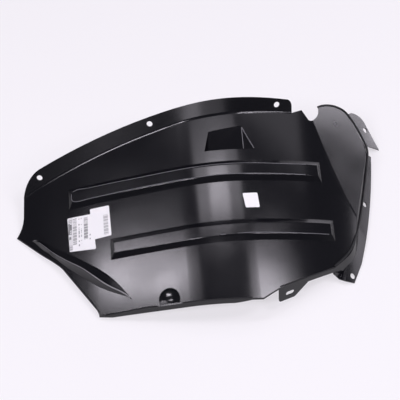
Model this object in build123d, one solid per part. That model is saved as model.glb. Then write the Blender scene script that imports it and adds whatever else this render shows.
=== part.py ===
"""Wheel arch liner: one moulded plastic shell with three paper labels stuck on it.

The shell is drawn in the arch's own frame: X along the arch, Y along the axle towards the turned-up
lip, Z up, with the top of the outer skin at the origin. At the end it is leaned over onto the points
that it rests on, and moved so that the middle of its underside is at the origin.

Each form is a block that can be drawn a little larger or smaller, by "grow". The shell is the space
between the blocks drawn at their outer skin and the same blocks drawn one wall thickness smaller.
"""
import os
from math import atan2, cos, degrees, radians, sin, sqrt, tan

from build123d import *

# Sheet
wall = 2.2                    # thickness of the moulding
valley_radius = 6.0           # radius of the outer skin where the sheet turns up
clip_hole = 10.0              # diameter of the holes for push clips

# Arch: three tangent arcs, seen along the axle
crown_radius = 256.0
left_radius = 2000.0
right_radius = 540.0
crown_left = 17.0             # degrees of the crown to the left of its top
crown_right = 9.0             # degrees of the crown to the right of its top

# Blocks run past the outline by these reaches, and the outline trims them
left_reach = 430.0
right_reach = 330.0
side_reach = 330.0
block_depth = 330.0
spare = 20.0                  # how much further the inner blocks run, so that they leave no end wall

# Outline in plan
left_tip = (-370.0, 3.0)
left_waist = (-360.5, 19.0)
left_side = (-356.0, 42.0)
lip_corner_low = (-355.0, 76.0)
lip_corner_mid = (-343.0, 97.5)
lip_corner_high = (-316.7, 114.1)
lip_edge_mid = (-130.0, 162.0)
lip_edge_end = (119.0, 178.3)
free_peak = (145.5, 168.0)
notch_left = (156.0, 150.2)
notch_bottom = (160.6, 149.0)
notch_right = (166.0, 152.5)
notch_mouth = (173.5, 161.0)
rim_start = (178.0, 180.0)
rim_far = (205.0, 191.5)
wing_far = (236.0, 187.0)
wing_top = (248.0, 193.7)
wing_shoulder = (265.5, 189.8)
wing_side = (274.4, 177.8)
wing_tip = (295.5, 128.7)
wing_heel = (270.6, 130.8)
wing_gap = (270.0, 111.5)
brim_top = (275.3, 109.3)
brim_middle = (254.0, 0.0)
brim_low = (222.0, -105.0)
brim_corner = (203.5, -140.5)
brim_inner = (187.5, -138.0)
brim_end = (167.0, -126.5)
heel = (-226.0, -162.0)
heel_top = (-229.0, -154.0)
jog_low = (-289.0, -68.0)
jog_high = (-300.0, -58.0)

# Lip: the edge turned up on the far side
lip_rise = 45.0               # degrees above level
lip_end = 127.0               # X where it stops
lip_end_corner = 8.0
lip_top = (97.0, 161.4)       # furthest point of its fold in plan
lip_fold_radius = 1235.0      # of its fold in plan
lip_seam = 14.0               # the lip takes over from the arch this far before its fold
lip_holes = ((-322.4, 18.4), (-120.6, 17.3), (100.6, 12.9))    # X, and distance up the lip from its fold

# Skirt: the edge turned down on the near side
skirt_fall = 55.0             # degrees below level
skirt_depth = 7.5             # square to the skin
heel_depth = 4.0              # of the skirt at the heel
heel_run = 22.0               # from there to its full depth
skirt_break = (44.0, -169.0)  # the left stretch of its fold runs from the heel to here
skirt_step = (70.0, -154.0)   # the right stretch starts here
skirt_end = (171.0, -117.5)
skirt_taper = -2.0            # X where the left stretch starts to run out
skirt_gap = 26.0              # X where it has run out
skirt_gap_depth = 3.0         # what is left of the fold from there to the right stretch
near_zone = -95.0             # Y that the skirt stays on the near side of

# Slotted tab on the skirt
tab_depth = 25.0              # square to the skin
tab_width = 28.0
tab_slant = 24.0              # run of its slanted side
tab_corner = 6.0
slot_length = 16.0
slot_width = 8.0
slot_from_fold = 19.0
slot_from_side = 20.0

# End wall on the right, and the step and brim around it
end_point = (180.0, 88.0)     # the wall leaves the skin here
end_fall = 0.75               # drop for each mm of X
end_drift = 0.0914            # drop for each mm of Y
end_crease_radius = 25.0
rim_depth = 8.0               # from the wall down to the brim, square to the wall
rim_slope = 33.0              # degrees between the wall and the step
rim_radius = 3.0
rim_wing = (240.1, 172.7)     # places on the wall's edge: beside the wing,
rim_right = (266.7, 116.2)    # at its corner on the right,
rim_turn = (208.2, -77.9)     # at its turn towards the skirt
rim_near = (170.4, -117.5)    # and where it ends on the skin
rim_right_radius = 75.0
rim_turn_radius = 100.0
brim_start = 150.0            # X where the brim's block starts, inside the arch
brim_hole_wall = (245.7, 8.3)
brim_hole_skin = (202.2, -128.1)
wing_hole = (272.7, 164.2)    # in the wing, the part of the brim beyond the gap

# Gusset: groove that widens from the step to the near edge of the brim
gusset_top = (199.6, -94.9)
gusset_left = (171.5, -122.1)
gusset_right = (189.6, -134.1)
gusset_low = (180.0, -129.5)
gusset_depth = 9.0            # at the near edge
gusset_reach = 1.5            # its block runs past the near edge by this share

# Raised ribs along the arch
rib_width = 37.0
rib_height = 6.5
rib_run = 9.0                 # of its sloping sides
rib_radius = 3.0
rib_spans = ((52.0, -271.0, 166.0), (-53.0, -201.0, 177.0))    # Y of the middle, X of both ends

# Tapered ridge beside the heel
ridge_heading = -38.0         # degrees of its way in plan
ridge_root = 4.0              # how far its feet are under the skin
ridge_hollow = 0.18           # of its two sides, as a share of their height
ridge_sections = (            # X and Y of the crest, its height over the skin, run of the far and near sides
    (-341.0, -8.0, 0.5, 12.0, 12.0),
    (-316.0, -28.0, 7.0, 15.0, 13.0),
    (-271.0, -66.0, 10.0, 23.0, 16.0),
    (-244.5, -86.0, 10.0, 25.0, 21.0),
    (-218.5, -108.5, 8.0, 28.0, 19.0),
    (-192.5, -127.5, 4.0, 22.0, 15.0),
    (-168.0, -147.5, 0.0, 8.0, 8.0),
)

# Wedge pocket near the lip
pocket_near = (-31.0, 54.0, 91.0)      # X of its two sides and Y, at the skin
pocket_far = ((-22.0, 126.0), (35.0, 134.0))
pocket_floor = (-25.0, 35.0)           # X of its two sides, at the floor
pocket_depth = 14.0

# Scoop behind the fold of the skirt
scoop_place = (-107.5, -155.0)
scoop_radius = 36.7
scoop_rise = 31.7             # of its centre, square to the skin

# Labels
paper = 0.2
glue = 0.15                   # between the skin and each label
label_large = ((-275.0, 18.0), (-231.0, 17.0), (-226.0, -47.0), (-273.0, -43.0))
label_small = ((-234.0, 26.0), (-200.0, 26.0), (-198.0, -28.0), (-232.0, -30.0))
label_square = ((26.0, 11.0), (51.0, 11.5), (53.0, -14.5), (29.5, -14.5))
label_corner = 2.0


def on_arc(center, radius, lean):
    """Point of an arc at an angle from upright, in X and Z."""
    return (center[0] + radius * sin(radians(lean)), center[1] + radius * cos(radians(lean)))


crown_center = (0.0, -crown_radius)
left_joint = on_arc(crown_center, crown_radius, -crown_left)
right_joint = on_arc(crown_center, crown_radius, crown_right)
left_center = on_arc(left_joint, -left_radius, -crown_left)
right_center = on_arc(right_joint, -right_radius, crown_right)


def skin_arc(x):
    """Centre and radius of the arc that carries the skin at X."""
    if x < left_joint[0]:
        return left_center, left_radius
    if x > right_joint[0]:
        return right_center, right_radius
    return crown_center, crown_radius


def skin_height(x, grow=0.0):
    """Height of the outer skin at X, or of the skin moved out by grow."""
    center, radius = skin_arc(x)
    return center[1] + sqrt((radius + grow) ** 2 - (x - center[0]) ** 2)


def skin_lean(x):
    """Degrees that the skin's outward direction leans to the right at X."""
    center, radius = skin_arc(x)
    return degrees(atan2(x - center[0], skin_height(x) - center[1]))


def skin_out(x):
    """Outward direction of the skin at X."""
    lean = radians(skin_lean(x))
    return Vector(sin(lean), 0, cos(lean))


def on_skin(place, height=0.0):
    """Point straight above a place in plan, at a height over the skin."""
    return Vector(place[0], place[1], skin_height(place[0]) + height)


def skin_arcs(start, end, grow=0.0):
    """The arcs of the skin between two places along the arch, moved out by grow, in X and Z."""
    stops = [skin_lean(start), -crown_left, crown_right, skin_lean(end)]
    carriers = [(left_center, left_radius), (crown_center, crown_radius), (right_center, right_radius)]
    return [
        CenterArc(center, radius + grow, 90 - first, first - last)
        for (center, radius), first, last in zip(carriers, stops, stops[1:])
    ]


def arch_block(grow):
    """Everything under the arch skin."""
    depth = block_depth - min(grow, 0) * spare
    arcs = skin_arcs(-left_reach, right_reach, grow)
    first, last = arcs[0] @ 0, arcs[-1] @ 1
    under = Polyline(last, (last.X, -depth), (first.X, -depth), first)
    return extrude(Plane.XZ * make_face(arcs + [under]), side_reach, both=True)


def leaning_block(curves, lean):
    """Block with a given outline at the height of the origin, drawn along a slanting direction."""
    direction = Vector(0, cos(radians(lean)), sin(radians(lean)))
    low = direction * (-block_depth / sin(radians(lean)))
    return extrude(Pos(low) * make_face(curves), 2 * block_depth, dir=direction)


def stations(start, end, count=7):
    """Evenly spaced places from start to end."""
    return [start + (end - start) * i / (count - 1) for i in range(count)]


def lip_fold(x):
    """Y of the lip's fold."""
    return lip_top[1] - lip_fold_radius + sqrt(lip_fold_radius ** 2 - (x - lip_top[0]) ** 2)


def lip_block(grow):
    """Everything behind the face of the lip."""
    slope = radians(lip_rise)
    start, end = spare - left_reach, lip_end + 3 * spare
    near = [
        (x, lip_fold(x) - skin_height(x) / tan(slope) - grow / sin(slope))
        for x in stations(start, end)
    ]
    far = 3 * side_reach
    return leaning_block([Spline(*near), Polyline(near[-1], (end, far), (start, far), near[0])], lip_rise)


def lip_core(grow):
    """Arch and lip with the fold between them rounded."""
    arch, lip = arch_block(grow), lip_block(grow)
    core = arch + lip
    fold = new_edges(arch, lip, combined=core).filter_by(GeomType.BSPLINE)
    return fillet(fold, valley_radius - grow)


def along(first, last, x):
    """Y at X on the line through two places in plan."""
    return first[1] + (last[1] - first[1]) * (x - first[0]) / (last[0] - first[0])


def skirt_fold(x):
    """Y of the skirt's fold."""
    if x < skirt_break[0]:
        return along(heel, skirt_break, x)
    if x < skirt_step[0]:
        return along(skirt_break, skirt_step, x)
    return along(skirt_step, skirt_end, x)


def skirt_block(grow):
    """Everything inside the face of the skirt."""
    slope = radians(skirt_fall)

    def edge(start, end):
        return [
            (x, skirt_fold(x) - skin_height(x) / tan(slope) - grow / sin(slope))
            for x in stations(start, end)
        ]

    left = edge(spare - left_reach, skirt_break[0])
    right = edge(skirt_step[0], right_reach - spare)
    far = 2 * side_reach
    close = Polyline(right[-1], (right[-1][0], far), (left[0][0], far), left[0])
    return leaning_block([Spline(*left), Line(left[-1], right[0]), Spline(*right), close], skirt_fall)


def rib_block(grow, middle, start, end):
    """One raised rib: a trapezium carried along the skin, with sloping ends."""
    slope = atan2(rib_height, rib_run)
    spread = grow / sin(slope)
    foot = rib_height + spare / 2
    half_foot = rib_width / 2 + spread + (foot - rib_height) / tan(slope)
    half_top = rib_width / 2 + spread - (rib_height + grow) / tan(slope)
    path = Plane.XZ.offset(-middle) * Wire(skin_arcs(start - 2 * spare, end + 2 * spare))
    section = Plane(path @ 0, x_dir=(0, 1, 0), z_dir=path % 0) * make_face(
        Polyline(
            (-half_foot, rib_height - foot),
            (half_foot, rib_height - foot),
            (half_top, rib_height + grow),
            (-half_top, rib_height + grow),
            close=True,
        )
    )
    rib = sweep(section, path) & rib_ends(grow, degrees(slope), start, end)
    top = [
        edge for edge in rib.edges()
        if abs(edge.center().Z - skin_height(edge.center().X) - rib_height - grow) < rib_height / 4
    ]
    return fillet(top, rib_radius + grow)


def rib_ends(grow, slope, start, end):
    """Wide block between the two sloping ends of a rib."""
    reach = 3 * spare
    corners = []
    for x, side in ((start, -1), (end, 1)):
        rise = radians(90 * (1 + side) - side * slope) - radians(skin_lean(x))
        up = Vector(cos(rise), sin(rise))
        out = Vector(side * abs(sin(rise)), abs(cos(rise)))
        foot = Vector(x, skin_height(x)) + out * grow
        corners.append((foot + up * reach, foot - up * reach))
    (left_up, left_down), (right_up, right_down) = corners
    face = make_face(Polyline(left_down, left_up, (0, reach), right_up, right_down, close=True))
    return extrude(Plane.XZ * face, side_reach, both=True)


def half(plane, grow=0.0):
    """Everything under a plane that is moved out by grow."""
    size = 4 * side_reach
    return plane * Pos(0, 0, grow) * Box(size, size, size, align=(Align.CENTER, Align.CENTER, Align.MAX))


def over(plane, place):
    """Point of a plane straight above or below a place in plan."""
    start, out = plane.origin, plane.z_dir
    drop = (out.X * (place[0] - start.X) + out.Y * (place[1] - start.Y)) / out.Z
    return Vector(place[0], place[1], start.Z - drop)


end_plane = Plane(on_skin(end_point), x_dir=(1, 0, -end_fall), z_dir=(end_fall, end_drift, 1))


def falling_plane(start, end, out, slope):
    """Plane through two points, which falls to the left of the way at a slope from a surface that faces out."""
    way = (end - start).normalized()
    aside = out.cross(way).normalized()
    up = way.cross(aside)
    return Plane(start, x_dir=way, z_dir=up * cos(radians(slope)) + aside * sin(radians(slope)))


def rim_block(grow):
    """Everything inside the step, which leaves the end wall and then the skin, with its turns rounded."""
    wing, right, turn = (over(end_plane, place) for place in (rim_wing, rim_right, rim_turn))
    near = on_skin(rim_near)
    block = half(falling_plane(wing, right, end_plane.z_dir, rim_slope), grow)
    block &= half(falling_plane(right, turn, end_plane.z_dir, rim_slope), grow)
    block &= half(falling_plane(turn, near, skin_out((turn.X + near.X) / 2), rim_slope), grow)
    for corner, radius in ((right, rim_right_radius), (turn, rim_turn_radius)):
        block = fillet(block.edges().sort_by_distance(corner)[0], radius + grow)
    return block


def prism(*curves):
    """Upright block with an outline in plan."""
    return extrude(make_face(curves), block_depth, both=True)


def zone(*places):
    """Upright block with straight sides between places in plan."""
    return prism(Polyline(*places, close=True))


def rounded(places, radius):
    """Upright block with straight sides and rounded corners."""
    face = make_face(Polyline(*places, close=True))
    return extrude(fillet(face.vertices(), radius), block_depth, both=True)


def brim_block(grow):
    """Everything under the brim around the step."""
    under = arch_block(grow - rim_depth) & half(end_plane, grow - rim_depth)
    right, near, far = right_reach - spare, spare - side_reach, side_reach - spare
    end = zone((brim_start, near), (right, near), (right, far), (brim_start, far))
    return (under & end) - gusset_block(grow)


def gusset_block(grow):
    """Groove with two sloping sides, as a wedge that opens upward and towards the near side."""
    top = on_skin(gusset_top, -rim_depth)
    base = [
        on_skin(place, -rim_depth - depth)
        for place, depth in ((gusset_left, 0), (gusset_right, 0), (gusset_low, gusset_depth))
    ]
    past = [top + (point - top) * gusset_reach for point in base]
    points = [top, *past]
    return Pos(0, 0, grow) * ConvexPolyhedron(points + [point + Vector(0, 0, spare) for point in points])


def ridge_section(x, y, height, far_run, near_run):
    """Upright section of the ridge, with two hollow sides that meet at its crest."""
    turn = radians(ridge_heading)
    top = on_skin((x, y), height)
    feet = [on_skin((x - sin(turn) * run, y + cos(turn) * run), -ridge_root) for run in (far_run, -near_run)]
    sides = [
        ThreePointArc(foot, (foot + top) / 2 - Vector(0, 0, ridge_hollow * (top.Z - foot.Z)), top)
        for foot in feet
    ]
    far_low, near_low = (foot - Vector(0, 0, spare) for foot in feet)
    return make_face(sides + [Polyline(feet[0], far_low, near_low, feet[1])])


def ridge_block(grow):
    """Ridge that rises near the left tip and runs out to a point beside the heel."""
    return Pos(0, 0, grow) * loft([ridge_section(*place) for place in ridge_sections])


def pocket_block(grow):
    """Hollow that gets deeper towards the near side."""
    left, right, near = pocket_near
    (far_left, far_left_y), (far_right, far_right_y) = pocket_far
    out = -grow
    rim = [(left - out, near - out), (right + out, near - out)]
    rim += [(far_left - out, far_left_y + out), (far_right + out, far_right_y + out)]
    floor = [(pocket_floor[0] - out, near - out), (pocket_floor[1] + out, near - out)]
    points = [on_skin(place, height) for place in rim for height in (spare, 0)]
    points += [on_skin(place, -pocket_depth - out) for place in floor]
    points += [on_skin(place, -out) for place in rim[2:]]
    return ConvexPolyhedron(points)


def scoop_block(grow):
    """Part of a ball that presses the scoop into the skin, as far as the back of the skirt."""
    center = on_skin(scoop_place) + skin_out(scoop_place[0]) * scoop_rise
    ball = Pos(center) * Sphere(scoop_radius - grow)
    return ball & skirt_block(-wall - grow)


def core(grow):
    """The whole form without the lip, as a solid."""
    arch, end = arch_block(grow), half(end_plane, grow)
    body = arch & end
    crease = new_edges(arch, end, combined=body).filter_by(GeomType.ELLIPSE)
    body = fillet(crease, end_crease_radius + grow)
    rim = rim_block(grow)
    stepped = body & rim
    rim_edges = [
        edge for edge in new_edges(body, rim, combined=stepped)
        if abs(edge.center().Y) < side_reach - spare and edge.center().Z > -block_depth / 2
    ]
    body = fillet(rim_edges, rim_radius + grow) & skirt_block(grow)
    body += brim_block(grow) + ridge_block(grow)
    for span in rib_spans:
        body += rib_block(grow, *span)
    return body - pocket_block(grow) - scoop_block(grow)


def outline():
    """Upright block with the outline of the whole part, open where folds and waste end it instead."""
    corner = (lip_end, lip_edge_end[1] - lip_end_corner)
    low = spare - side_reach
    return prism(
        ThreePointArc(left_tip, left_waist, left_side),
        Line(left_side, lip_corner_low),
        ThreePointArc(lip_corner_low, lip_corner_mid, lip_corner_high),
        ThreePointArc(lip_corner_high, lip_edge_mid, lip_edge_end),
        RadiusArc(lip_edge_end, corner, lip_end_corner),
        Polyline(corner, (lip_end, lip_fold(lip_end)), free_peak, notch_left),
        ThreePointArc(notch_left, notch_bottom, notch_right),
        ThreePointArc(notch_right, notch_mouth, rim_start),
        ThreePointArc(rim_start, rim_far, wing_far),
        Line(wing_far, wing_top),
        ThreePointArc(wing_top, wing_shoulder, wing_side),
        Polyline(wing_side, wing_tip, wing_heel, wing_gap, brim_top),
        ThreePointArc(brim_top, brim_middle, brim_low),
        Polyline(brim_low, brim_corner, brim_inner, brim_end, (brim_end[0], low), (heel[0], low), heel),
        Polyline(heel, heel_top, jog_low, jog_high, left_tip),
    )


def edge_curve(start, end, depth):
    """Arc that runs under the skin at a depth between two X, in X and Z."""
    return ThreePointArc(*[(x, skin_height(x, -depth)) for x in stations(start, end, 3)])


def skirt_waste():
    """What is cut away under the edge of the skirt, drawn as seen from the near side."""
    left, right, bottom = spare - left_reach, brim_end[0], -block_depth - 2 * spare
    tab_left = skirt_step[0]
    tab_right = tab_left + tab_width
    tab_end = tab_right + tab_slant
    full = heel[0] + heel_run
    start = edge_curve(left, heel[0], heel_depth)
    stretch = Spline(*[(x, skin_height(x, -skirt_depth)) for x in stations(full, skirt_taper)])
    gap = edge_curve(skirt_gap, tab_left, skirt_gap_depth)
    last = edge_curve(tab_end, right, skirt_depth)
    tab = Polyline(
        gap @ 1,
        (tab_left, skin_height(tab_left) - tab_depth),
        (tab_right, skin_height(tab_right) - tab_depth),
        last @ 0,
    )
    close = Polyline(last @ 1, (right, bottom), (left, bottom), start @ 0)
    links = [Line(start @ 1, stretch @ 0), Line(stretch @ 1, gap @ 0)]
    face = make_face([start, stretch, *links, gap, tab, last, close])
    tab_middle = (tab_left + tab_width / 2, skin_height(tab_left) - tab_depth)
    face = fillet(face.vertices().sort_by_distance(tab_middle)[:2], tab_corner)
    return extrude(Plane.XZ.offset(-near_zone) * face, side_reach)


def lip_zone():
    """Upright block over the lip and the strip of arch beside it."""
    seam = [(x, lip_fold(x) - lip_seam) for x in stations(spare - left_reach, lip_end, 3)]
    far = side_reach - spare
    return prism(ThreePointArc(*seam), Polyline(seam[-1], (lip_end, far), (seam[0][0], far), seam[0]))


def bar(point, out):
    """Round bar through the sheet at a point."""
    return Plane(point, z_dir=out) * Cylinder(clip_hole / 2, 4 * wall)


def lip_bar(x, reach):
    """Bar for a clip hole in the lip."""
    rise, run = sin(radians(lip_rise)), cos(radians(lip_rise))
    swing = (lip_top[0] - x) / sqrt(lip_fold_radius ** 2 - (x - lip_top[0]) ** 2)
    out = Vector(swing * rise + tan(radians(skin_lean(x))) * run, -rise, run)
    return bar(on_skin((x, lip_fold(x))) + Vector(0, run, rise) * reach, out)


def brim_bars():
    """Bars for the clip holes in the brim and in the wing."""
    x, y = brim_hole_skin
    return [
        bar(over(end_plane.offset(-rim_depth), brim_hole_wall), end_plane.z_dir),
        bar(Vector(x, y, skin_height(x, -rim_depth)), skin_out(x)),
        bar(over(end_plane.offset(-rim_depth), wing_hole), end_plane.z_dir),
    ]


def slot_bar():
    """Bar for the slot in the tab."""
    x = skirt_step[0] + slot_from_side
    fall, run = sin(radians(skirt_fall)), cos(radians(skirt_fall))
    drift = (skirt_end[1] - skirt_step[1]) / (skirt_end[0] - skirt_step[0])
    way = Vector(1, drift, -tan(radians(skin_lean(x))))
    down = Vector(0, -run, -fall)
    place = on_skin((x, skirt_fold(x))) + down * slot_from_fold
    face = Plane(place, x_dir=way, z_dir=down.cross(way)) * SlotOverall(slot_length, slot_width)
    return extrude(face, 2 * wall, both=True)


def liner():
    """The moulded shell with its lip and holes."""
    trim, beyond = outline(), lip_zone()
    body = ((core(0) - core(-wall)) & trim) - beyond - skirt_waste()
    lip = (lip_core(0) - lip_core(-wall)) & trim & beyond
    shell = body + lip
    for hole in [lip_bar(*place) for place in lip_holes] + brim_bars() + [slot_bar()]:
        shell -= hole
    return shell


def label(places, thickness):
    """Paper stuck on the skin."""
    return (arch_block(glue + thickness) & rounded(places, label_corner)) - arch_block(glue)


def floor_plane():
    """Plane through the undersides of the three points that the part rests on."""
    tip = Vector(*left_tip, skin_height(left_tip[0], -wall))
    corner = Vector(*brim_corner, skin_height(brim_corner[0], -rim_depth - wall))
    wing = over(end_plane.offset(-rim_depth - wall), wing_tip)
    return Plane(tip, x_dir=(1, 0, 0), z_dir=(corner - tip).cross(wing - tip))


if __name__ == "__main__":
    os.makedirs("parts", exist_ok=True)
    large = label(label_large, paper)
    pieces = {
        "liner_shell": liner(),
        "paper_label_large": large,
        "paper_label_small": label(label_small, 2 * paper) - large,
        "square_label": label(label_square, paper),
    }
    lean = floor_plane().location.inverse()
    box = (lean * pieces["liner_shell"]).bounding_box()
    move = Pos(-box.center().X, -box.center().Y, -box.min.Z)
    for name, piece in pieces.items():
        export_step(move * lean * piece, f"parts/{name}.step")
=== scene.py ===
"""Wheel arch liner: glossy black moulding with paper labels, on a pale floor under soft studio light."""

import math

import bpy
from mathutils import Matrix, Vector


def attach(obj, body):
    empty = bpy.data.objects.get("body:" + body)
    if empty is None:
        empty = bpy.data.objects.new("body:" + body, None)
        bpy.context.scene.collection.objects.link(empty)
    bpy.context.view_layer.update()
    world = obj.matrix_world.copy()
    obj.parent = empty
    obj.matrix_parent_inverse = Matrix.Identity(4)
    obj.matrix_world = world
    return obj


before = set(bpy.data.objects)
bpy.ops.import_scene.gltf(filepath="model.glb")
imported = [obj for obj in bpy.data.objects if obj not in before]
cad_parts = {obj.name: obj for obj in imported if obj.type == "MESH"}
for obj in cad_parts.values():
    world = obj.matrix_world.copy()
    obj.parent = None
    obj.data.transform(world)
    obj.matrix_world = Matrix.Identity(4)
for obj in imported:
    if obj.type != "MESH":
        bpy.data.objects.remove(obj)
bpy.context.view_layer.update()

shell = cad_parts["liner_shell"]
large_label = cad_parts["paper_label_large"]
small_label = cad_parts["paper_label_small"]
square_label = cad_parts["square_label"]

# Camera: place, directions, sensor width and focal length in mm, and the range of distances in view
eye = Vector((-0.010426, -1.042876, 1.462065))
look_right = Vector((0.995807, -0.074975, -0.052421))
look_up = Vector((0.091421, 0.794408, 0.600465))
look_forward = Vector((0.003376, 0.60274, -0.797931))
sensor = 36.0
lens = 91.6
nearest_view = 0.05
farthest_view = 50.0

# Soft boxes in the ceiling: X and Y of the middle, size both ways, degrees of turn, brightness
lamp_color = (0.955, 0.91, 1.0)
ceiling = 2.5
ceiling_boxes = {
    "middle": (0.00, 0.13, 0.64, 0.16, 0.0, 13.0),
    "middle_left": (-0.54, 0.14, 0.44, 0.24, 0.0, 4.0),
    "middle_right": (0.54, 0.14, 0.44, 0.20, 0.0, 4.0),
    "middle_far": (-0.06, 0.34, 1.50, 0.24, 0.0, 2.0),
    "left": (-2.06, 0.04, 1.04, 0.17, -11.0, 21.0),
    "left_end": (-1.41, -0.06, 0.26, 0.18, -11.0, 10.0),
    "left_fade": (-1.10, -0.11, 0.36, 0.18, -11.0, 3.0),
    "right_start": (0.91, -0.40, 0.20, 0.54, 0.0, 4.0),
    "right": (1.32, -0.40, 0.62, 0.54, 0.0, 14.5),
    "right_end": (1.76, -0.38, 0.26, 0.56, 0.0, 8.5),
    "right_fade": (2.04, -0.36, 0.30, 0.58, 0.0, 3.0),
    "far": (0.60, 0.90, 4.00, 0.80, 0.0, 1.0),
    "near_left": (-1.65, -1.55, 1.40, 0.60, 0.0, 17.5),
    "near_right": (2.20, -1.55, 1.90, 0.60, 0.0, 8.8),
}

# Upright soft boxes: place of the middle, the way that each faces, width, height, brightness
upright_boxes = {
    "wing_low": ((2.5, 1.69, 0.20), (-1.0, 0.0, 0.0), 1.00, 0.26, 10.0),
    "wing_high": ((2.5, 1.77, 0.57), (-1.0, 0.0, 0.0), 0.94, 0.38, 5.0),
    "brim_low": ((2.5, 0.80, 0.16), (-1.0, 0.0, 0.0), 0.60, 0.28, 4.0),
    "brim_high": ((2.5, 0.25, 0.84), (-1.0, 0.0, 0.0), 0.50, 0.48, 2.8),
    "lip": ((-0.26, -3.0, 0.60), (0.0, 1.0, 0.0), 0.40, 0.60, 3.3),
    "lip_right": ((0.30, -3.0, 0.60), (0.0, 1.0, 0.0), 0.72, 0.60, 1.1),
    "lip_spot": ((-0.88, -3.0, 0.50), (0.0, 1.0, 0.0), 0.12, 0.40, 1.4),
    "back": ((0.0, 3.0, 0.45), (0.0, -1.0, 0.0), 4.00, 0.80, 1.4),
}

# Faint light from all round
sky_color = (0.95, 0.94, 1.0, 1.0)
sky_strength = 0.1

# Floor: half its size, its lit colour and roughness, its own white, and the share of that white over the
# lit colour with the shadow that the camera and reflections see
floor_half = 40.0
floor_color = (0.95, 0.945, 0.955, 1.0)
floor_roughness = 0.9
floor_white = (0.96, 0.93, 0.98, 1.0)
floor_glow = 0.65

# Plastics: colour, and roughness where the surface is smoothest and roughest; the two greys are painted
# highlights, not colours of the plastic
black = (0.004, 0.004, 0.006, 1.0)
# Painted highlight: a grey that stands for light caught along the moulding's folds, on black plastic
edge_highlight_grey = (0.14, 0.14, 0.15, 1.0)
# Painted highlight: a lighter grey that stands for the bright line of light along the ridge top
crest_highlight_grey = (0.28, 0.28, 0.29, 1.0)
shell_finish = (black, 0.13, 0.18)
rim_finish = (black, 0.60, 0.70)
edge_highlight_finish = (edge_highlight_grey, 0.35, 0.45)
crest_highlight_finish = (crest_highlight_grey, 0.35, 0.45)
plastic_ior = 1.5

# Unevenness: scale and detail of the clouds and grain in plastic and of the grain in paper, how far the
# grain in plastic changes the roughness, and the range that the noise mostly keeps to
clouds = (14.0, 4.0)
plastic_grain = (900.0, 2.0)
paper_grain = (400.0, 3.0)
grain_change = 0.02
noise_low = 0.3
noise_high = 0.7

# Paper and ink
paper_white = (0.95, 0.95, 0.95, 1.0)
paper_smoothest = 0.5
paper_roughest = 0.6
ink_black = (0.03, 0.03, 0.035, 1.0)

# Colour sockets of a mix node
mix_from = 6
mix_to = 7
mix_result = 2

# Moulded lines on the shell: radius, and the places that each runs through
rim_lines = {
    "wall_rim": (0.0019, (
        (0.2188, 0.1596, 0.1106),
        (0.2274, 0.1666, 0.1051),
        (0.2394, 0.1736, 0.0969),
        (0.2574, 0.1788, 0.0835),
        (0.2723, 0.1770, 0.0709),
        (0.2826, 0.1667, 0.0603),
        (0.2912, 0.1539, 0.0506),
        (0.3003, 0.1348, 0.0391),
        (0.3052, 0.1165, 0.0312),
        (0.2995, 0.0870, 0.0260),
        (0.2842, 0.0282, 0.0215),
        (0.2670, -0.0306, 0.0225),
        (0.2560, -0.0617, 0.0282),
        (0.2406, -0.0930, 0.0288),
        (0.2277, -0.1093, 0.0308),
        (0.2077, -0.1281, 0.0350),
    )),
    "left_rim": (0.0013, (
        (-0.3317, 0.0114, 0.0032),
        (-0.2908, -0.0292, 0.0095),
        (-0.2494, -0.0692, 0.0152),
        (-0.2272, -0.1015, 0.0145),
        (-0.2056, -0.1330, 0.0135),
        (-0.1865, -0.1620, 0.0110),
    )),
    "skirt_fold_left": (0.0012, (
        (-0.1780, -0.1693, 0.0127),
        (-0.1263, -0.1730, 0.0303),
        (-0.0977, -0.1758, 0.0391),
        (-0.0895, -0.1772, 0.0411),
    )),
    "skirt_fold_middle": (0.0012, (
        (-0.0481, -0.1822, 0.0526),
        (-0.0189, -0.1852, 0.0593),
        (0.0052, -0.1874, 0.0624),
        (0.0293, -0.1888, 0.0634),
        (0.0640, -0.1893, 0.0612),
    )),
    "skirt_fold_right": (0.0012, (
        (0.1120, -0.1710, 0.0568),
        (0.1466, -0.1573, 0.0507),
        (0.1820, -0.1419, 0.0420),
        (0.2074, -0.1298, 0.0342),
    )),
}
# Line along the ridge, in light grey: a painted highlight where the ridge catches the light
ridge_crest_highlight = (0.0012, (
    (-0.2991, -0.0043, 0.0140),
    (-0.2874, -0.0158, 0.0195),
    (-0.2653, -0.0407, 0.0247),
    (-0.2438, -0.0606, 0.0292),
    (-0.2123, -0.0859, 0.0345),
    (-0.1920, -0.1053, 0.0362),
    (-0.1723, -0.1231, 0.0361),
    (-0.1429, -0.1434, 0.0353),
    (-0.1334, -0.1517, 0.0345),
))
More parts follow.
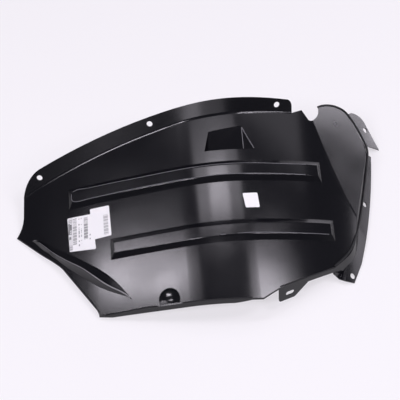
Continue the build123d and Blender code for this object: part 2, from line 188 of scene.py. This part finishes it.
# Lines along the ribs and the pocket, in grey: painted highlights where their folds catch the light
edge_highlight_lines = {
    "upper_rib_highlight": (0.0007, (
        (0.1799, 0.0368, 0.1054),
        (0.1364, 0.0324, 0.1198),
        (0.0856, 0.0306, 0.1311),
        (0.0349, 0.0296, 0.1366),
        (-0.0156, 0.0314, 0.1318),
        (-0.0584, 0.0346, 0.1218),
        (-0.1018, 0.0385, 0.1096),
        (-0.1460, 0.0437, 0.0957),
        (-0.1911, 0.0492, 0.0802),
        (-0.2223, 0.0525, 0.0693),
        (-0.2252, 0.0490, 0.0676),
        (-0.2256, 0.0380, 0.0645),
        (-0.2229, 0.0344, 0.0649),
        (-0.1919, 0.0298, 0.0754),
        (-0.1470, 0.0250, 0.0908),
        (-0.1030, 0.0207, 0.1044),
        (-0.0597, 0.0165, 0.1168),
        (-0.0172, 0.0132, 0.1267),
        (0.0332, 0.0112, 0.1319),
        (0.0834, 0.0120, 0.1270),
        (0.1343, 0.0146, 0.1152),
        (0.1775, 0.0183, 0.1012),
    )),
    "lower_rib_highlight": (0.0006, (
        (0.0233, -0.0888, 0.1009),
        (0.0725, -0.0880, 0.0981),
        (0.1221, -0.0860, 0.0874),
        (0.1728, -0.0824, 0.0714),
        (0.2050, -0.0792, 0.0590),
    )),
    "pocket_fold_highlight": (0.0008, (
        (0.0771, 0.0965, 0.1470),
        (0.0772, 0.0811, 0.1363),
        (0.0773, 0.0670, 0.1266),
    )),
    "pocket_edge_highlight": (0.0008, (
        (0.0774, 0.0970, 0.1475),
        (0.0856, 0.0790, 0.1402),
        (0.0944, 0.0605, 0.1330),
    )),
}

# Share of its radius that the crest line starts with, and how finely each line is rounded
crest_start = 0.1
line_steps = 3

# Date dial on the end wall: middle, the way out of the wall, radius, half the pointer, radius of its lines
dial_middle = Vector((0.24874, 0.14081, 0.08228))
dial_out = Vector((0.62119, -0.16543, 0.766))
dial_radius = 0.0045
pointer_half = Vector((0.0, 0.0026, 0.0))
dial_line = 0.0005

# Faint ring below the lower rib: middle, the way out of the skin, radius, radius of its line
mark_middle = Vector((0.1201, -0.12448, 0.06913))
mark_out = Vector((0.25913, -0.28665, 0.92232))
mark_radius = 0.0065
mark_line = 0.0003

# Places that a round line runs through
circle_places = 8

# Labels: upper left corner, and the ways to the upper right and lower left corners
large_corner = Vector((-0.23654, 0.01275, 0.0459))
large_across = Vector((0.04448, -0.00631, 0.01576))
large_down = Vector((0.00149, -0.05855, -0.01721))
small_corner = Vector((-0.19501, 0.01539, 0.06325))
small_across = Vector((0.03435, -0.00391, 0.01167))
small_down = Vector((0.00153, -0.05375, -0.01579))

# Printed fields: share of the way across and down where each starts and ends, bars over the whole way
# down, share of the bars that are printed, which is all of them from 1 on, and darkness
large_fields = (
    (0.03, 0.21, 0.02, 0.98, 1, 1.1, 0.2),
    (0.04, 0.20, 0.02, 0.15, 60, 0.7, 0.5),
    (0.04, 0.09, 0.17, 0.50, 1, 1.1, 0.95),
    (0.11, 0.17, 0.17, 0.50, 34, 0.75, 0.95),
    (0.06, 0.15, 0.57, 0.65, 1, 1.1, 0.75),
    (0.04, 0.20, 0.82, 0.97, 60, 0.7, 0.5),
    (0.22, 0.38, 0.04, 0.84, 70, 0.6, 0.55),
    (0.45, 0.50, 0.04, 0.90, 45, 0.45, 0.6),
    (0.55, 0.59, 0.04, 0.85, 45, 0.35, 0.5),
    (0.67, 0.83, 0.09, 0.74, 70, 0.65, 0.65),
    (0.89, 0.94, 0.62, 0.78, 45, 0.5, 0.5),
)
small_fields = (
    (0.68, 0.92, 0.28, 0.93, 60, 0.6, 0.45),
)


def add_object(name, data):
    """New object in the scene."""
    added = bpy.data.objects.new(name, data)
    bpy.context.scene.collection.objects.link(added)
    return added


def make_camera():
    data = bpy.data.cameras.new("camera")
    data.sensor_width = sensor
    data.lens = lens
    data.clip_start = nearest_view
    data.clip_end = farthest_view
    camera = add_object("camera", data)
    turn = Matrix((look_right, look_up, -look_forward)).transposed()
    camera.matrix_world = Matrix.Translation(eye) @ turn.to_4x4()
    bpy.context.scene.camera = camera


def make_world():
    world = bpy.data.worlds.new("world")
    bpy.context.scene.world = world
    world.use_nodes = True
    background = world.node_tree.nodes["Background"]
    background.inputs["Color"].default_value = sky_color
    background.inputs["Strength"].default_value = sky_strength


def area_light(name, place, turn, width, height, brightness):
    data = bpy.data.lights.new(name, "AREA")
    data.shape = "RECTANGLE"
    data.size = width
    data.size_y = height
    data.energy = brightness * math.pi * width * height
    data.color = lamp_color
    lamp = add_object(name, data)
    lamp.matrix_world = Matrix.Translation(place) @ turn.to_4x4()


def make_lights():
    for name, (x, y, width, height, turn, brightness) in ceiling_boxes.items():
        spin = Matrix.Rotation(math.radians(turn), 3, "Z")
        area_light(name, Vector((x, y, ceiling)), spin, width, height, brightness)
    for name, (place, facing, width, height, brightness) in upright_boxes.items():
        aim = Vector(facing).to_track_quat("-Z", "Y").to_matrix()
        area_light(name, Vector(place), aim, width, height, brightness)


def find_node(tree, kind):
    return next(node for node in tree.nodes if node.type == kind)


def add_node(tree, kind, **settings):
    node = tree.nodes.new(kind)
    for name, value in settings.items():
        setattr(node, name, value)
    return node


def new_material(name):
    """New material, with its node tree and its main shader."""
    material = bpy.data.materials.new(name)
    material.use_nodes = True
    tree = material.node_tree
    return material, tree, find_node(tree, "BSDF_PRINCIPLED")


def place_on(tree):
    """Place on the piece, in the shared frame."""
    return add_node(tree, "ShaderNodeTexCoord").outputs["Object"]


def math_node(tree, operation, *values):
    """Result of a sum or test on numbers and sockets."""
    node = add_node(tree, "ShaderNodeMath", operation=operation)
    for socket, value in zip(node.inputs, values):
        if isinstance(value, (int, float)):
            socket.default_value = value
        else:
            tree.links.new(value, socket)
    return node.outputs["Value"]


def uneven(tree, place, scale, detail, low, high):
    """Value that wanders between two limits over the surface."""
    noise = add_node(tree, "ShaderNodeTexNoise")
    noise.inputs["Scale"].default_value = scale
    noise.inputs["Detail"].default_value = detail
    tree.links.new(place, noise.inputs["Vector"])
    limits = add_node(tree, "ShaderNodeMapRange")
    limits.inputs["From Min"].default_value = noise_low
    limits.inputs["From Max"].default_value = noise_high
    limits.inputs["To Min"].default_value = low
    limits.inputs["To Max"].default_value = high
    tree.links.new(noise.outputs["Fac"], limits.inputs["Value"])
    return limits.outputs["Result"]


def plastic(name, color, smoothest, roughest):
    """Moulding with faint cloudiness and a slight grain."""
    material, tree, shader = new_material(name)
    place = place_on(tree)
    shader.inputs["Base Color"].default_value = color
    shader.inputs["IOR"].default_value = plastic_ior
    cloud = uneven(tree, place, *clouds, smoothest, roughest)
    grain = uneven(tree, place, *plastic_grain, -grain_change, grain_change)
    tree.links.new(math_node(tree, "ADD", cloud, grain), shader.inputs["Roughness"])
    return material


def way_along(tree, place, corner, axis):
    """Share of the way along an axis, from 0 at the corner to 1 at its end."""
    move = add_node(tree, "ShaderNodeVectorMath", operation="SUBTRACT")
    tree.links.new(place, move.inputs[0])
    move.inputs[1].default_value = corner
    project = add_node(tree, "ShaderNodeVectorMath", operation="DOT_PRODUCT")
    tree.links.new(move.outputs["Vector"], project.inputs[0])
    project.inputs[1].default_value = axis / axis.length_squared
    return project.outputs["Value"]


def between(tree, value, low, high):
    """1 where a value is between two limits, else 0."""
    above = math_node(tree, "GREATER_THAN", value, low)
    below = math_node(tree, "LESS_THAN", value, high)
    return math_node(tree, "MULTIPLY", above, below)


def printed_field(tree, across, down, left, right, top, bottom, bars, share, darkness):
    """Darkness of one field of plain bars."""
    columns = between(tree, across, left, right)
    rows = between(tree, down, top, bottom)
    area = math_node(tree, "MULTIPLY", columns, rows)
    row = math_node(tree, "FLOOR", math_node(tree, "MULTIPLY", down, bars))
    chance = add_node(tree, "ShaderNodeTexWhiteNoise", noise_dimensions="1D")
    tree.links.new(row, chance.inputs["W"])
    bar = math_node(tree, "LESS_THAN", chance.outputs["Value"], share)
    return math_node(tree, "MULTIPLY", math_node(tree, "MULTIPLY", area, bar), darkness)


def paper(name):
    """White paper."""
    material, tree, shader = new_material(name)
    rough = uneven(tree, place_on(tree), *paper_grain, paper_smoothest, paper_roughest)
    tree.links.new(rough, shader.inputs["Roughness"])
    shader.inputs["Base Color"].default_value = paper_white
    return material


def printed_paper(name, corner, across, down, fields):
    """White paper with printed fields."""
    material = paper(name)
    tree = material.node_tree
    shader = find_node(tree, "BSDF_PRINCIPLED")
    place = place_on(tree)
    across_share = way_along(tree, place, corner, across)
    down_share = way_along(tree, place, corner, down)
    ink = 0.0
    for field in fields:
        ink = math_node(tree, "MAXIMUM", ink, printed_field(tree, across_share, down_share, *field))
    mix = add_node(tree, "ShaderNodeMix", data_type="RGBA")
    tree.links.new(ink, mix.inputs["Factor"])
    mix.inputs[mix_from].default_value = paper_white
    mix.inputs[mix_to].default_value = ink_black
    tree.links.new(mix.outputs[mix_result], shader.inputs["Base Color"])
    return material


def make_floor():
    """Pale floor that mixes its own white into its lit colour, so that the shadow stays."""
    corners = [
        (-floor_half, -floor_half, 0.0),
        (floor_half, -floor_half, 0.0),
        (floor_half, floor_half, 0.0),
        (-floor_half, floor_half, 0.0),
    ]
    mesh = bpy.data.meshes.new("floor")
    mesh.from_pydata(corners, [], [(0, 1, 2, 3)])
    floor = add_object("floor", mesh)
    material, tree, shader = new_material("floor")
    shader.inputs["Base Color"].default_value = floor_color
    shader.inputs["Roughness"].default_value = floor_roughness
    glow = add_node(tree, "ShaderNodeEmission")
    glow.inputs["Color"].default_value = floor_white
    ray = add_node(tree, "ShaderNodeLightPath").outputs
    seen = math_node(tree, "MAXIMUM", ray["Is Camera Ray"], ray["Is Glossy Ray"])
    seen = math_node(tree, "MAXIMUM", seen, ray["Is Transmission Ray"])
    mix = add_node(tree, "ShaderNodeMixShader")
    tree.links.new(math_node(tree, "MULTIPLY", seen, floor_glow), mix.inputs["Fac"])
    tree.links.new(shader.outputs["BSDF"], mix.inputs[1])
    tree.links.new(glow.outputs["Emission"], mix.inputs[2])
    output = find_node(tree, "OUTPUT_MATERIAL")
    tree.links.new(mix.outputs["Shader"], output.inputs["Surface"])
    mesh.materials.append(material)


def circle(middle, out, radius):
    """Places round a circle that lies square to a direction."""
    turn = out.to_track_quat("Z", "Y").to_matrix()
    places = []
    for step in range(circle_places):
        angle = math.radians(360 / circle_places * step)
        places.append(middle + turn @ Vector((radius * math.cos(angle), radius * math.sin(angle), 0.0)))
    return places


def moulded_line(name, radius, places, material, closed=False, start=1.0):
    """Round line through given places, which can start thinner, at a share of its radius."""
    data = bpy.data.curves.new(name, "CURVE")
    data.dimensions = "3D"
    data.bevel_depth = radius
    data.bevel_resolution = line_steps
    data.use_fill_caps = True
    data.materials.append(material)
    spline = data.splines.new("BEZIER")
    last = len(places) - 1
    spline.bezier_points.add(last)
    spline.use_cyclic_u = closed
    for step, (point, place) in enumerate(zip(spline.bezier_points, places)):
        point.co = place
        point.radius = start + (1.0 - start) * step / last
        point.handle_left_type = "AUTO"
        point.handle_right_type = "AUTO"
    piece = add_object(name, data)
    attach(piece, "root")


def set_material(piece, material):
    piece.data.materials.clear()
    piece.data.materials.append(material)


make_camera()
make_world()
make_floor()
make_lights()

gloss = plastic("black_plastic", *shell_finish)
satin = plastic("rim_plastic", *rim_finish)
# Grey lines along the ribs, pocket, dial and ridge: painted highlights
painted_edge_highlight = plastic("edge_highlight_paint", *edge_highlight_finish)
painted_crest_highlight = plastic("crest_highlight_paint", *crest_highlight_finish)
set_material(shell, gloss)
for line_name, line in rim_lines.items():
    moulded_line(line_name, *line, satin)
moulded_line("ridge_crest_highlight", *ridge_crest_highlight, painted_crest_highlight, start=crest_start)
for line_name, line in edge_highlight_lines.items():
    moulded_line(line_name, *line, painted_edge_highlight)
# Dial ring and pointer drawn as moulded lines in the same grey, which is painted highlight
pointer_ends = (dial_middle - pointer_half, dial_middle + pointer_half)
moulded_line("dial_ring", dial_line, circle(dial_middle, dial_out, dial_radius), painted_edge_highlight, closed=True)
moulded_line("dial_pointer", dial_line, pointer_ends, painted_edge_highlight)
moulded_line("mould_mark", mark_line, circle(mark_middle, mark_out, mark_radius), gloss, closed=True)

large_paper = printed_paper("large_paper", large_corner, large_across, large_down, large_fields)
small_paper = printed_paper("small_paper", small_corner, small_across, small_down, small_fields)
set_material(large_label, large_paper)
set_material(small_label, small_paper)
set_material(square_label, paper("square_paper"))

bpy.context.scene.view_settings.view_transform = "Standard"
